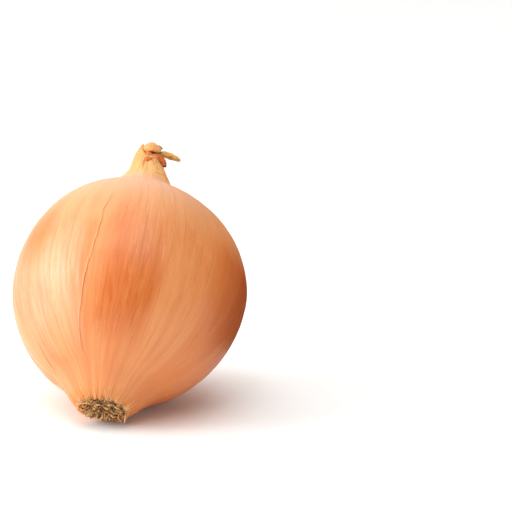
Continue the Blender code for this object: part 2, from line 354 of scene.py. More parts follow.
def profile_curve():
    """The meridian as a smooth curve in the XZ plane."""
    body = [radians(degrees) for degrees in BODY_LATITUDES]
    body = [(cos(latitude), sin(latitude)) for latitude in body]
    rings = (*ROOT_CUP, *ROOT_SHOULDER, *body, *NECK_SHOULDER, *NECK_SHEATH, *NECK_PIT)
    curve = bpy.data.curves.new("profile", "CURVE")
    curve.dimensions = "3D"
    curve.resolution_u = 12
    spline = curve.splines.new("BEZIER")
    spline.bezier_points.add(len(rings) - 1)
    for point, (radius, height) in zip(spline.bezier_points, rings):
        point.co = (radius * RADIUS, 0, height * RADIUS)
        point.handle_left_type = "AUTO"
        point.handle_right_type = "AUTO"
    return new_object("profile", curve)


# Shifts of the skin from its meridian, in metres
RIBS = 0.00042
FINE_RIBS = 0.00012
UNEVEN_GROWTH = 0.0012
WAIST = 0.0003
PLEATS = 0.00032
NECK_CREASES = 0.0006
SHEATH_STEP = 0.0008
LOBE_HEIGHT = 0.0058
LOBE_LEAN = 0.27
FRONT_DIP = 0.0012
NECK_SWELL = 0.0016
NECK_TATTER = 0.001
COLLAR_TATTER = 0.003
FLATTENED = 0.001
FLAT_SIDE = Vector((0.73, 0.47, -0.5)).normalized()

# Two sheaths lap round the neck: where the front one's edge lies, and its share of a turn
SHEATH_EDGE = radians(-88)
SHEATH_SPAN = 238 / 360


def sheath_lap(turn):
    """From 1 just past a sheath's edge, where it lies outside, to 0 just before the next edge."""
    share = ((turn - SHEATH_EDGE) / tau) % 1.0
    front = 1 - share / SHEATH_SPAN
    behind = 1 - (share - SHEATH_SPAN) / (1 - SHEATH_SPAN)
    in_front = share.below(SHEATH_SPAN)
    return front * in_front + behind * (1 - in_front)


def hump(turn, centre, width):
    """A smooth hump round the axis: 1 at centre (degrees), close to 0 two widths (radians) away."""
    away = (turn - radians(centre) + pi) % tau - pi
    return (away * away * (-1 / width**2)).exponential()


def skin_relief(tree, turn, share, radius):
    """(outward, upward) shifts of the skin from its meridian, by turn and by height share."""
    cosine, sine = turn.cosine(), turn.sine()

    def uneven(height, scale, detail):
        return tree.noise(tree.vector(cosine, sine, height), scale, detail) - 0.5

    long_way = share * 0.22
    neck = share.smooth(1.02, 1.17)
    top = share.smooth(1.19, 1.325)
    gathered = (-share).smooth(0.97, 1.1)
    body = uneven(long_way, 11.0, 2.0) * RIBS + uneven(long_way, 38.0, 1.0) * FINE_RIBS
    body = body + uneven(share, 1.3, 1.0) * UNEVEN_GROWTH + (turn * 2 + 0.6).cosine() * WAIST
    lobe = hump(turn, 182, 1.12) * LOBE_HEIGHT
    place = tree.vector(cosine * radius, sine * radius, share * RADIUS)
    outward = (
        body * (1 - neck)
        + (0.5 - abs(uneven(long_way, 13.0, 2.0)) * 5.0) * PLEATS * gathered
        + uneven(share * 0.5, 5.0, 3.0) * NECK_CREASES * neck
        + (sheath_lap(turn) - 0.5) * SHEATH_STEP * neck
        + hump(turn, -12, 0.9) * NECK_SWELL * neck * (1 - top)
        - lobe * top * top * top * LOBE_LEAN
        - tree.dot(place, FLAT_SIDE / RADIUS).smooth(0.75, 1.0) * FLATTENED
    )
    upward = lobe - hump(turn, -74, 0.8) * FRONT_DIP + uneven(0.0, 9.0, 3.0) * NECK_TATTER
    torn_rim = uneven(0.3, 17.0, 2.0) * COLLAR_TATTER * (-share).smooth(1.09, 1.12)
    return outward, upward * top - torn_rim


def skin_tree(tree, given):
    """A grid rolled up round the axis along the profile, with relief, then tipped."""
    values = {"Vertices X": given["Columns"] + 1, "Vertices Y": given["Rings"] + 1}
    sheet = tree.add("GeometryNodeMeshGrid", {}, values)
    across, along, _ = tree.parts(tree.add("GeometryNodeInputPosition"))
    turn = (across + 0.5) * tau
    along = along + 0.5
    along = along - (along * tau).sine() * 0.1
    profile = tree.add("GeometryNodeObjectInfo", {}, (given["Profile"],), "Geometry")
    values = {"Curves": profile, "Factor": along}
    sampled = tree.add("GeometryNodeSampleCurve", {"mode": "FACTOR"}, values, "Position")
    radius, _, height = tree.parts(sampled)
    outward, upward = skin_relief(tree, turn, height / RADIUS, radius)
    radius = radius + outward * along.band((0.03, 0.06), (0.972, 0.99))
    height = height + upward * along.band((0.01, 0.05), (0.975, 0.995))
    off_axis = sidestep(height / RADIUS)
    x, y, z = tipped_wires(radius * turn.cosine() + off_axis, radius * turn.sine(), height)
    place = tree.vector(x, y, z.most(0.00002))
    moved = tree.add("GeometryNodeSetPosition", {}, {"Geometry": sheet, "Position": place})
    values = {"Geometry": moved, "Distance": 0.000002}
    closed = tree.add("GeometryNodeMergeByDistance", {}, values)
    turned = tree.add("GeometryNodeFlipFaces", {}, (closed,))
    return finished(tree, turned, given["Material"])


def bulb_skin(material):
    profile = profile_curve()
    inputs = {"Profile": profile, "Columns": COLUMNS, "Rings": RINGS, "Material": material}
    piece = grow("bulb_skin", skin_tree, inputs)
    bpy.data.objects.remove(profile)
    stands_for(piece, "bulb")
    return piece


def surface_at(tree, turn, latitude):
    """Where a ray from the bulb's middle leaves the skin, and its direction."""
    turned = Matrix.Rotation(radians(turn), 3, "Z")
    risen = Matrix.Rotation(-radians(latitude), 3, "Y")
    outward = Matrix.Rotation(-TILT, 3, "X") @ turned @ risen @ Vector((1, 0, 0))
    hit = tree.ray_cast(MIDDLE + outward * RADIUS * 0.3, outward)[0]
    return hit, outward


def join(bm, rings, closed=False):
    """Faces between each row of vertices and the next one, all the way round where closed."""
    for near, far in zip(rings, rings[1:]):
        for j in range(len(near) - 1 + closed):
            k = (j + 1) % len(near)
            bm.faces.new((near[j], far[j], far[k], near[k]))


def grid(rows, columns, place):
    """Rows of points. Place gives each one from how far along and across it is, from 0 to 1."""
    return [[place(i / (rows - 1), j / (columns - 1)) for j in range(columns)] for i in range(rows)]


def solid_sheet(name, points, thickness, material):
    """A closed sheet of some thickness over a grid of points, given as rows."""
    bm = bmesh.new()
    join(bm, [[bm.verts.new(point) for point in row] for row in points])
    piece = object_from(name, bm, material)
    wall = piece.modifiers.new("wall", "SOLIDIFY")
    wall.thickness = thickness
    wall.offset = 0.0
    apply_modifiers(piece)
    piece.data.shade_smooth()
    piece.data.set_sharp_from_angle(angle=radians(60))
    return piece


# The lifted edges of the torn skin: points along and across, thickness, lift and sinking in metres
EDGE_ROWS, EDGE_COLUMNS = 260, 22
EDGE_THICKNESS = 0.00007
EDGE_LIFT = 0.0001
RIM_LIFT = 0.00014
EDGE_SINK = 0.00016
END_SINK = 0.0002


def torn_skin(name, skin, tear, towards, width, rim_lift_and_highlight, material):
    """The free edge of the outermost skin along a tear, lifted there and sinking into the skin. Its rim is
    lifted a little more and stores a painted highlight for the material.
    """
    surface = BVHTree.FromPolygons(
        [vertex.co for vertex in skin.data.vertices], [tuple(face.vertices) for face in skin.data.polygons]
    )
    low, high = tear[0][0], tear[-1][0]

    def place(along, across):
        latitude = low + (high - low) * along
        ends = smoothstep(0.0, 0.12, along) * smoothstep(1.0, 0.72, along)
        tatter = noise.noise(Vector((latitude * 0.16, towards * 7.0, 0.3))) * 0.7
        tatter += noise.noise(Vector((latitude * 0.9, towards * 3.0, 4.7))) * 0.22
        reach = across**1.6
        turn = between(tear, latitude) + tatter * (1 - reach) + towards * width * reach
        hit, outward = surface_at(surface, turn, latitude)
        lift = EDGE_LIFT * (1 - smoothstep(0.25, 1.0, reach)) * ends
        lift += RIM_LIFT * rim_lift_and_highlight * smoothstep(0.05, 0.0, reach) * ends
        sink = EDGE_SINK * smoothstep(0.3, 1.0, reach) + END_SINK * (1 - ends)
        return hit + outward * (lift - sink)

    points = grid(EDGE_ROWS, EDGE_COLUMNS, place)
    if towards > 0:
        points.reverse()
    piece = solid_sheet(name, points, EDGE_THICKNESS, material)
    # A painted highlight along the torn rim, stored for the outermost skin's material
    rim = piece.data.attributes.new("rim", "FLOAT", "POINT")
    for index in range(len(piece.data.vertices)):
        reach = index % EDGE_COLUMNS / (EDGE_COLUMNS - 1)
        rim.data[index].value = rim_lift_and_highlight * smoothstep(0.11, 0.0, reach)
    stands_for(piece, "bulb")


# Materials


# Colours of the skin's larger areas, as linear red, green and blue
GOLD, DARK_GOLD = (0.79, 0.305, 0.1), (0.73, 0.225, 0.06)
RUSSET, LIGHT_CLOUD = (0.66, 0.175, 0.042), (0.83, 0.36, 0.14)
# A deeper gold and its streaky tint, painted as shade on the right side
SHADED_GOLD, SHADED_GOLD_STREAK = (0.68, 0.175, 0.032), (0.74, 0.225, 0.055)
DEEP, DEEP_STREAK = (0.57, 0.112, 0.008), (0.65, 0.16, 0.016)
PLEAT, PLEAT_STREAK = (0.56, 0.165, 0.026), (0.8, 0.32, 0.085)
CREAM, CREAM_STREAK = (0.92, 0.5, 0.3), (0.9, 0.45, 0.255)
HONEY, HONEY_STREAK = (0.92, 0.52, 0.205), (0.89, 0.43, 0.14)

# The skin's veins round the onion, its gloss, and the height of its bumps in metres
VEINS = 64
SKIN_GLOSS = 0.52
SKIN_BUMPS = 0.0006


# Single creases and veins of the skin, as (latitude, turn) in degrees, with a width and a strength
CREASES = (
    # The first line follows the slit low on the left: its dark colour is painted shade of that crease
    (((-76, -194), (-68, -178), (-60, -156), (-50, -148.5), (-44, -146)), 2.0, 0.9),
    (((-30, -73), (0, -72.6), (33, -73.6)), 0.85, 0.34),
    (((8, -80.5), (24, -78.5), (42, -77)), 0.85, 0.38),
)


class Skin(Surface):
    """A skin material: where a shaded point lies on the onion, the noises of the skin, and its colour."""

    def __init__(self, name):
        super().__init__(name)
        settings = {"operation": "SUBTRACT"}
        place = self.add("ShaderNodeVectorMath", settings, (self.place(), tuple(MIDDLE)), "Vector")
        y = self.dot(place, (0, cos(TILT), -sin(TILT)))
        z = self.dot(place, (0, sin(TILT), cos(TILT)))
        self.share = z / RADIUS
        x = self.dot(place, (1, 0, 0)) - sidestep(self.share)
        from_axis = (x * x + y * y).root()
        self.from_axis = from_axis / RADIUS
        self.turn = y.angle_over(x)
        self.cosine, self.sine = self.turn.cosine(), self.turn.sine()
        self.degrees = self.turn * (180 / pi)
        self.latitude = z.angle_over(from_axis) * (180 / pi)

        self.wide = self.drawn_out(4.0, 3.0)
        self.streaks = self.drawn_out(26.0, 3.0, 0.6)
        self.fine = self.drawn_out(95.0, 2.0, 0.6, 0.05)
        self.cloud = self.noise(place, 60.0, 3.0)
        self.paper = self.noise(place, 900.0, 3.0, 0.6)
        self.root_end = (-self.share + (self.streaks - 0.5) * 0.12).smooth(1.0, 1.1)
        self.shoulder = (self.share + (self.streaks - 0.5) * 0.14).smooth(0.46, 0.86)
        veins = (self.turn * (VEINS / tau) + (self.wide - 0.5) * 2.4) % 1.0
        self.veins = (veins - 0.5).ridge(0.055) * self.drawn_out(15.0, 1.0).smooth(0.42, 0.62)

    def drawn_out(self, scale, detail, roughness=0.5, pitch=0.12):
        """Noise drawn out from the roots to the neck, the further the smaller its pitch."""
        place = self.vector(self.cosine, self.sine, self.share * pitch)
        return self.noise(place, scale, detail, roughness)

    def crease(self, points, width):
        """1 along a line given as (latitude, turn) points, fading at its ends and at its sides."""
        low, high = points[0][0], points[-1][0]
        fade = (high - low) * 0.3
        ends = self.latitude.band((low, low + fade), (high - fade, high))
        return (self.degrees - self.latitude.curve(points)).ridge(width) * ends


def paint_ground(skin):
    """Gold with streaks and clouds, and a deeper, plainer gold on the lower right side as painted shade.
    """
    gold = skin.mix(skin.wide.smooth(0.35, 0.68), GOLD, DARK_GOLD)
    gold = skin.mix(skin.streaks.smooth(0.45, 0.75, 0.0, 0.55), gold, RUSSET)
    skin.colour = skin.mix(skin.cloud.smooth(0.52, 0.74, 0.0, 0.4), gold, LIGHT_CLOUD)
    # Painted shade: a deeper gold over the lower right side
    lower_right_shade = (skin.turn + radians(48)).smooth(0.0, 0.7)
    lower_right_shade = lower_right_shade * (1 - (skin.turn - radians(70)).smooth(0.0, 0.7))
    shaded_gold = skin.mix(skin.streaks.smooth(0.35, 0.7), SHADED_GOLD, SHADED_GOLD_STREAK)
    skin.paint(lower_right_shade * 0.65 * (1 - skin.share.smooth(0.1, 0.6)), shaded_gold)


def paint_window(skin):
    """The deeper layer that shows between the two tears."""
    wander = (skin.drawn_out(9.0, 2.0) - 0.5) * 14.0
    past_left = skin.degrees - skin.latitude.curve(LEFT_TEAR) + wander
    before_right = skin.latitude.curve(RIGHT_TEAR) + 3 - skin.degrees + wander
    inside = past_left.smooth(0.0, 14.0) * before_right.smooth(0.0, 12.0)
    inside = inside * skin.latitude.smooth(-58, -35) * (1 - skin.latitude.smooth(-15, 24) * 0.78)
    deep = skin.mix(skin.streaks.smooth(0.35, 0.7), DEEP, DEEP_STREAK)
    skin.paint(inside * skin.streaks.smooth(0.2, 0.62, 1.0, 0.72), deep)


def paint_patches(skin):
    """Paler skin with a painted sheen and a bright arc at the left, and a deep patch of painted shade at
    the right.
    """
    # Paler skin on the left flank, partly painted sheen where the left lamp's highlight falls
    pale_skin_and_sheen = skin.degrees.band((-158, -140), (-104, -100)) * skin.latitude.band((-62, -30), (-5, 30))
    skin.paint(pale_skin_and_sheen * skin.streaks.smooth(0.3, 0.6, 0.7, 0.3), (0.89, 0.405, 0.235))
    arc = skin.degrees.band((-154, -142), (-130, -120)) * skin.latitude.band((-16, 8), (30, 58))
    skin.paint(arc * skin.streaks.smooth(0.25, 0.55, 1.0, 0.75) * 0.95, (0.74, 0.18, 0.024))
    # Painted shade: a deep orange-brown over the right side
    right = skin.degrees.band((-42, -4), (30, 60)) * skin.latitude.band((-50, -12), (4, 32))
    skin.paint(right * 0.9, (0.46, 0.08, 0.004))


def paint_lines(skin):
    """Creases as dark lines of painted shade, veins, dark and light hairs, and the specks of the paper."""
    # The crease's dark line is painted shade; the veins are the skin's own darker lines
    for points, width, strength in CREASES:
        skin.paint(skin.crease(points, width) * strength, (0.4, 0.105, 0.008))
    skin.paint(skin.veins * 0.38, (0.42, 0.1, 0.022))
    dark = (skin.fine - 0.5).ridge(0.018) * skin.drawn_out(7.0, 1.0).smooth(0.45, 0.6)
    skin.paint(dark * 0.3, (0.5, 0.135, 0.03))
    light = (skin.fine - 0.6).ridge(0.022) * skin.drawn_out(5.0, 1.0).smooth(0.45, 0.62)
    skin.paint(light * 0.4, (0.94, 0.52, 0.25))
    skin.paint(skin.paper.smooth(0.62, 0.8, 0.0, 0.25), (0.52, 0.16, 0.045))


def paint_root_end(skin):
    """Gathered pleats, with straw-coloured patches along the torn rim."""
    pleats = skin.drawn_out(22.0, 3.0, 0.6, 0.3)
    patches = skin.drawn_out(3.0, 2.0, 0.5, 0.0)
    gathered = skin.mix(pleats.smooth(0.38, 0.62), PLEAT, PLEAT_STREAK)
    skin.paint(skin.root_end * 0.75, gathered)
    straw = (-skin.share + (pleats - 0.5) * 0.08 + (patches - 0.5) * 0.12).smooth(1.1, 1.15)
    skin.paint(straw * 0.85, (0.72, 0.46, 0.19))


def paint_shoulder(skin):
    """Paler skin over the upper half, cream on the shoulder and honey on the neck."""
    paler = (skin.share + (skin.streaks - 0.5) * 0.3).smooth(0.1, 0.6)
    skin.paint(paler * 0.62, (0.86, 0.45, 0.215))
    streaked = skin.streaks.smooth(0.3, 0.7)
    cream = skin.mix(streaked, CREAM, CREAM_STREAK)
    honey = skin.mix(streaked, HONEY, HONEY_STREAK)
    skin.paint(skin.shoulder, skin.mix(skin.share.smooth(0.98, 1.12), cream, honey))


def paint_neck(skin):
    """The neck's lobe, the edge of its front sheath, specks, and painted shade along one wrinkle and
    inside the pit.
    """
    share = skin.share
    lobe_side = (-skin.cosine).smooth(0.15, 0.9) * share.smooth(1.0, 1.15)
    skin.paint(lobe_side * 0.85, (0.8, 0.365, 0.105))
    upper_neck = (share + (skin.cloud - 0.5) * 0.1).smooth(1.2, 1.32)
    skin.paint(upper_neck * 0.3, (0.82, 0.34, 0.09))
    past_edge = skin.turn - SHEATH_EDGE
    overlap = past_edge.band((-0.35, -0.02), (-0.01, 0.02)) * share.smooth(1.13, 1.22)
    skin.paint(overlap * 0.6, (0.7, 0.36, 0.08))
    edge_line = (past_edge - 0.03).ridge(0.09) * share.smooth(1.08, 1.2)
    skin.paint(edge_line * 0.9, (0.5, 0.15, 0.028))
    specks = skin.vector(skin.cosine * 0.6, skin.sine * 0.6, share * 2.6)
    specks = skin.noise(specks, 9.0, 3.0, 0.7).smooth(0.54, 0.64)
    speck_room = share.smooth(1.1, 1.18) * (skin.turn + radians(92)).smooth(0.0, 0.3)
    skin.paint(specks * speck_room * 0.65, (0.52, 0.22, 0.055))
    # Painted shade along a wrinkle at the neck's front
    wrinkle = (share - 1.1 - (skin.degrees + 55) * 0.00094).ridge(0.0065)
    skin.paint(wrinkle * skin.degrees.band((-58, -52), (-30, -22)) * 0.75, (0.46, 0.19, 0.055))
    # Painted shade inside the neck's pit, under the hood
    inside = (1 - skin.from_axis.smooth(0.07, 0.095)) * share.band((1.1, 1.2), (1.3, 1.36))
    skin.paint(inside, (0.5, 0.15, 0.035))


def skin_material(name, outermost):
    """Papery onion skin. The outermost layer has a painted highlight along its torn rim, the other one the
    deeper window.
    """
    skin = Skin(name)
    paint_ground(skin)
    if outermost:
        # A painted highlight along the torn rim
        skin.paint(skin.attribute("rim"), (0.93, 0.52, 0.25))
    else:
        paint_window(skin)
    for paint in (paint_patches, paint_lines, paint_root_end, paint_shoulder, paint_neck):
        paint(skin)
    skin.give("Specular IOR Level", SKIN_GLOSS)
    rough = skin.streaks.smooth(0.3, 0.8, 0.34, 0.5) + (skin.paper - 0.5) * 0.12
    rough = rough + skin.root_end * 0.15 + skin.shoulder * 0.1
    wrinkles = skin.drawn_out(60.0, 3.0, 0.6, 0.7)
    height = skin.streaks * 0.25 + skin.fine * 0.14 - skin.veins * 0.1
    return skin.finish(rough, height + wrinkles * 0.1 + skin.paper * 0.02, 0.55, SKIN_BUMPS)


# Colours of the dried roots, along their random tint, the grey patches and fibres that age them, painted
# shade deep in the tuft, and pale tips that are partly painted light
ROOT_TINTS = (
    (0.0, 0.3, (0.84, 0.46, 0.17)),
    (0.4, 0.48, (0.56, 0.32, 0.115)),
    (0.58, 0.66, (0.82, 0.4, 0.13)),
    (0.76, 0.84, (0.86, 0.63, 0.34)),
)
ROOT_BROWN = (0.46, 0.17, 0.04)
ROOT_GREY = (0.42, 0.22, 0.08)
ROOT_FIBRE = (0.8, 0.56, 0.28)
ROOT_SHADE = (0.1, 0.04, 0.012)
ROOT_TIP_PALE_AND_LIT = (0.95, 0.66, 0.34)


def root_material():
    """Dried roots: straw, tan and grey-brown, each root in a tint of its own, darker with painted shade
    deep in the tuft and paler with partly painted light at the outer tips.
    """
    surface = Surface("dried_roots")
    place = surface.place()
    tint = surface.attribute("tint")
    depth = surface.attribute("depth")
    patchy = surface.noise(place, 700.0, 3.0, 0.6)
    fibres = surface.noise(place, 2600.0, 2.0, 0.6)
    surface.colour = ROOT_BROWN
    for low, high, tinted in ROOT_TINTS:
        surface.paint(tint.smooth(low, high), tinted)
    surface.paint(patchy.smooth(0.5, 0.68, 0.0, 0.5), ROOT_GREY)
    surface.paint(fibres.smooth(0.52, 0.72, 0.0, 0.4), ROOT_FIBRE)
    surface.paint((1 - depth.smooth(0.05, 0.62)) * 0.85, ROOT_SHADE)
    # Pale tips on the outermost roots, partly painted light
    surface.paint(depth.smooth(0.55, 1.0) * 0.5, ROOT_TIP_PALE_AND_LIT)
    return surface.finish(fibres.smooth(0.3, 0.7, 0.72, 0.95), fibres + patchy, 0.6, 0.0003)


# Dried tissues as (light, middle, dark)
TISSUES = {
    "collar_paper": ((0.92, 0.62, 0.32), (0.84, 0.42, 0.15), (0.52, 0.2, 0.05)),
    "knob_tissue": ((0.93, 0.48, 0.18), (0.87, 0.35, 0.1), (0.48, 0.13, 0.024)),
    "torn_lips": ((0.78, 0.24, 0.036), (0.62, 0.15, 0.018), (0.34, 0.07, 0.008)),
    "hook_tissue": ((0.68, 0.17, 0.02), (0.52, 0.11, 0.01), (0.28, 0.05, 0.006)),
    "olive_flake": ((0.58, 0.33, 0.1), (0.4, 0.2, 0.055), (0.22, 0.09, 0.025)),
    "tongue_top": ((0.92, 0.6, 0.28), (0.86, 0.44, 0.16), (0.56, 0.2, 0.05)),
    "stub_tissue": ((0.9, 0.51, 0.145), (0.64, 0.32, 0.065), (0.32, 0.13, 0.025)),
}


def tip_material(name):
    """Dried leaf tissue, ridged along its UV length, in the three tints of its name."""
    light, middle, dark = TISSUES[name]
    surface = Surface(name)
    place = surface.place()
    across, along, _ = surface.parts(surface.add("ShaderNodeTexCoord", out="UV"))
    ridges = surface.noise(surface.vector(across * 9.0, along * 1.2, 0.0), 2.2, 3.0, 0.6)
    patchy = surface.noise(place, 420.0, 3.0, 0.6)
    grain = surface.noise(place, 2200.0, 2.0)
    surface.colour = surface.mix(ridges.smooth(0.38, 0.62), middle, light)
    surface.paint(patchy.smooth(0.5, 0.68, 0.0, 0.8), middle)
    surface.paint(patchy.smooth(0.24, 0.44, 0.85, 0.0), dark)
    edge = 1 - (across * (1 - across)).smooth(0.0, 0.07)
    surface.paint(edge.most(along.smooth(0.86, 1.0)) * 0.65, dark)
    surface.paint(grain.smooth(0.5, 0.8, 0.0, 0.4), dark)
    return surface.finish(grain.smooth(0.3, 0.7, 0.45, 0.7), ridges + grain * 0.3, 0.6, 0.0004)


# The white table: its two whites, how much painted glow it gives at the left and elsewhere, and how far it
# reaches
TABLE_WHITE = (0.93, 0.968, 0.975)
TABLE_WHITER = (0.945, 0.983, 0.99)
LEFT_GLOW, RIGHT_GLOW = 0.26, 0.04
TABLE_REACH = 6.0
GLOW_ENDS = (-0.046, -0.008)


def floor_material():
    """A white table, very faintly uneven, with a painted glow mostly left of the onion."""
    surface = Surface("white_table")
    place = surface.place()
    surface.give("Base Color", surface.mix(surface.noise(place, 3.0, 2.0), TABLE_WHITE, TABLE_WHITER))
    surface.give("Roughness", surface.noise(place, 40.0, 2.0).smooth(0.3, 0.7, 0.65, 0.75))
    surface.give("Specular IOR Level", 0.15)
    # A painted glow standing in for light on the table left of the onion
    glow = surface.dot(place, direction(90, 0)).smooth(*GLOW_ENDS, LEFT_GLOW, RIGHT_GLOW)
    surface.give("Emission Color", surface.mix(glow, (0, 0, 0), (1, 1, 1)))
    surface.give("Emission Strength", 1.0)
    return surface.material


# Roots


ROOT_PLATE_AT = -1.082 * RADIUS
ROOT_REACH = -1.185 * RADIUS
PLATE_RADIUS = 0.0069
PLATE_THICKNESS = 0.0011
PLATE_LUMPS = 0.0005


def roots_tree(tree, given):
    """Curled roots over the root plate: each bends away to its own side, and stays off the table."""
    count = given["Count"]
    seed = given["Seed"]
    index = tree.add("GeometryNodeInputIndex")

    def draw(low, high, key):
        settings = {"data_type": "FLOAT"}
        values = {"Min": low, "Max": high, "ID": index, "Seed": seed + key}
        return tree.add("FunctionNodeRandomValue", settings, values, "Value")

    share = ((index + 0.5) / count).root()
    angle = index * (pi * (3 - sqrt(5))) + draw(-0.4, 0.4, 1)
    ring = given["Spread"] * share
    rooted = (angle.cosine() * ring, angle.sine() * ring)
    points = tree.add("GeometryNodePoints", {}, {"Count": count, "Position": tree.vector(*rooted, 0.0)})
    kept = {
        "tint": draw(0.0, 1.0, 2),
        "bend": draw(given["Least bend"], given["Most bend"], 3),
        "length": draw(0.6, 1.0, 4) * given["Length"] * (1.15 - share * 0.4),
        "side": angle + draw(-1.9, 1.9, 5),
        "thick": draw(0.55, 1.0, 6) * given["Thickness"],
        "wave": draw(0.0, 50.0, 7),
        "rooted_x": rooted[0],
        "rooted_y": rooted[1],
        "outness": share,
    }
    for name, value in kept.items():
        points = tree.store(points, name, value)
    line = tree.add("GeometryNodeCurvePrimitiveLine", {}, {"Start": (0, 0, 0), "End": (0, 0, -0.001)})
    line = tree.add("GeometryNodeResampleCurve", {}, {"Curve": line, "Count": 11})
    stood = tree.add("GeometryNodeInstanceOnPoints", {}, {"Points": points, "Instance": line})
    lines = tree.add("GeometryNodeRealizeInstances", {}, (stood,))

    along = tree.add("GeometryNodeSplineParameter", out="Factor")
    bend, length, wave = tree.stored("bend"), tree.stored("length"), tree.stored("wave")
    away = length * (1 - (bend * along).cosine()) / bend
    away = away * (0.56 + tree.stored("outness") * 0.44)
    down = length * (bend * along).sine() / bend
    side = tree.stored("side") + (tree.noise(tree.vector(wave, along * 1.6, 0.0), 1.0) - 0.5) * 2.2
    lift = (tree.noise(tree.vector(wave, along * 2.0, 9.0), 1.0) - 0.5) * length * 0.5
    x = tree.stored("rooted_x") + side.cosine() * away + ROOT_SIDESTEP
    y = tree.stored("rooted_y") + side.sine() * away
    z = (ROOT_PLATE_AT + 0.0004 - down + lift * along).most(ROOT_REACH + wave * 0.000024)
    depth = (ROOT_PLATE_AT - z) / (ROOT_PLATE_AT - ROOT_REACH)
    x, y, z = tipped_wires(x, y, z)
    thick = tree.stored("thick") * (1 - along * 0.45)
    place = tree.vector(x, y, z.most(thick + 0.0001))
    lines = tree.store(lines, "depth", depth)
    lines = tree.add("GeometryNodeSetPosition", {}, {"Geometry": lines, "Position": place})
    circle = tree.add("GeometryNodeCurvePrimitiveCircle", {}, {"Resolution": 6})
    values = {"Curve": lines, "Profile Curve": circle, "Scale": thick, "Fill Caps": True}
    tubes = tree.add("GeometryNodeCurveToMesh", {}, values)
    return finished(tree, tubes, given["Material"])


# Two kinds of roots, in metres. Bend is how far the least and the most curled ones turn, in radians
ROOTS = {
    "dried_roots": {
        "Count": 340, "Seed": SEED, "Spread": 0.0072, "Length": 0.0058, "Thickness": 0.00044,
        "Least bend": 1.2, "Most bend": 4.6,
    },
    "fine_roots": {
        "Count": 200, "Seed": SEED + 40, "Spread": 0.0078, "Length": 0.0052, "Thickness": 0.0002,
        "Least bend": 1.6, "Most bend": 6.0,
    },
}


def roots(material):
    for name, inputs in ROOTS.items():
        stands_for(grow(name, roots_tree, {**inputs, "Material": material}), "root_tuft")


def root_plate(material):
    """The woody plate that the roots grow from, lumpy on its face."""
    bm = bmesh.new()
    bmesh.ops.create_uvsphere(bm, u_segments=64, v_segments=32, radius=1)
    for vertex in bm.verts:
        lumps = noise.noise(vertex.co * 4.0) * PLATE_LUMPS
        vertex.co.x = vertex.co.x * PLATE_RADIUS + ROOT_SIDESTEP
        vertex.co.y = vertex.co.y * PLATE_RADIUS
        vertex.co.z = vertex.co.z * PLATE_THICKNESS + ROOT_PLATE_AT + 0.0006 + lumps
    bm.transform(tipped())
    for vertex in bm.verts:
        vertex.co.z = max(vertex.co.z, 0.0001)
    piece = object_from("root_plate", bm, material)
    piece.data.shade_smooth()
    stands_for(piece, "root_tuft")


# Torn scraps of skin round the roots, as (turn, length, width, outward) in degrees and metres
COLLAR_SCRAPS = (
    (-164, 0.0022, 0.0024, 0.0005),
    (-150, 0.0022, 0.002, 0.0009),
    (-137, 0.0019, 0.0018, 0.0009),
    (10, 0.0034, 0.002, 0.0004),
    (27, 0.004, 0.0026, 0.0002),
)
SMALL_SCRAPS = 26
COLLAR_RADIUS = 0.0079
COLLAR_AT = -0.0436
SCRAP_ROWS, SCRAP_COLUMNS = 12, 7
SCRAP_CURL = 0.0006
SCRAP_THICKNESS = 0.00012


def scrap_points(number, turn, length, width, outward):
    """Rows of points down a scrap of the collar, which narrows and curls towards its tip."""

    def place(along, across):
        aside = across - 0.5
        drift = noise.noise(Vector((number * 1.9, along * 1.5, 0))) * SCRAP_CURL * along
        curl = noise.noise(Vector((aside * 2.0, along * 2.0, number * 3.7))) * SCRAP_CURL * along
        radius = COLLAR_RADIUS + outward * along + curl + (aside * width) ** 2 * 90
        sideways = aside * width * (1 - 0.85 * along**1.5) + drift
        around = radians(turn) + sideways / COLLAR_RADIUS
        x = cos(around) * radius + ROOT_SIDESTEP
        point = tipped() @ Vector((x, sin(around) * radius, COLLAR_AT - along * length))
        point.z = max(point.z, 0.0002)
        return point

    return grid(SCRAP_ROWS, SCRAP_COLUMNS, place)


def collar_scraps():
    """Papery scraps of the torn skin edge, with a few large ones at the left and at the right."""
    material = tip_material("collar_paper")
    draw = random.Random(SEED)
    scraps = list(COLLAR_SCRAPS)
    for step in range(SMALL_SCRAPS):
        turn = 360 * (step + draw.uniform(-0.3, 0.3)) / SMALL_SCRAPS
        width = draw.uniform(0.0006, 0.0012)
        scraps.append((turn, draw.uniform(0.0012, 0.0022), width, draw.uniform(-0.0002, 0.0004)))
    for number, scrap in enumerate(scraps):
        points = scrap_points(number, *scrap)
        piece = solid_sheet(f"collar_scrap_{number}", points, SCRAP_THICKNESS, material)
        add_uv(piece, SCRAP_ROWS, SCRAP_COLUMNS)
        stands_for(piece, "bulb")


# The neck's dried tips. Their points are given in tenths of a millimetre (right, back, up) from the
# top of the neck's pit


TIPS_FACE = radians(-74)
NECK_TOP = 1.33 * RADIUS

# Wrinkles of a dried leaf as (waves across, waves along, noise row, share of the height)
LEAF_WRINKLES = ((7, 1.6, 0, 1.0), (17, 3.5, 9, 0.45), (3, 6, 5, 0.35))


def neck_matrix():
    """From (right, back, up) metres at the top of the neck's pit to the tipped onion."""
    pit = Matrix.Translation((NECK_SIDESTEP, 0, NECK_TOP))
    return tipped() @ pit @ Matrix.Rotation(TIPS_FACE + pi / 2, 4, "Z")


def smooth_path(points, count):
    """count points evenly along a smooth curve through the given ones."""
    ends = [2 * points[0] - points[1], *points, 2 * points[-1] - points[-2]]
    made = []
    for step in range(count):
        at = step / (count - 1) * (len(points) - 1)
        first = min(int(at), len(points) - 2)
        t = at - first
        a, b, c, d = ends[first : first + 4]
        straight = 2 * b + (c - a) * t
        bent = (2 * a - 5 * b + 4 * c - d) * t**2 + (3 * b - a - 3 * c + d) * t**3
        made.append(0.5 * (straight + bent))
    return made


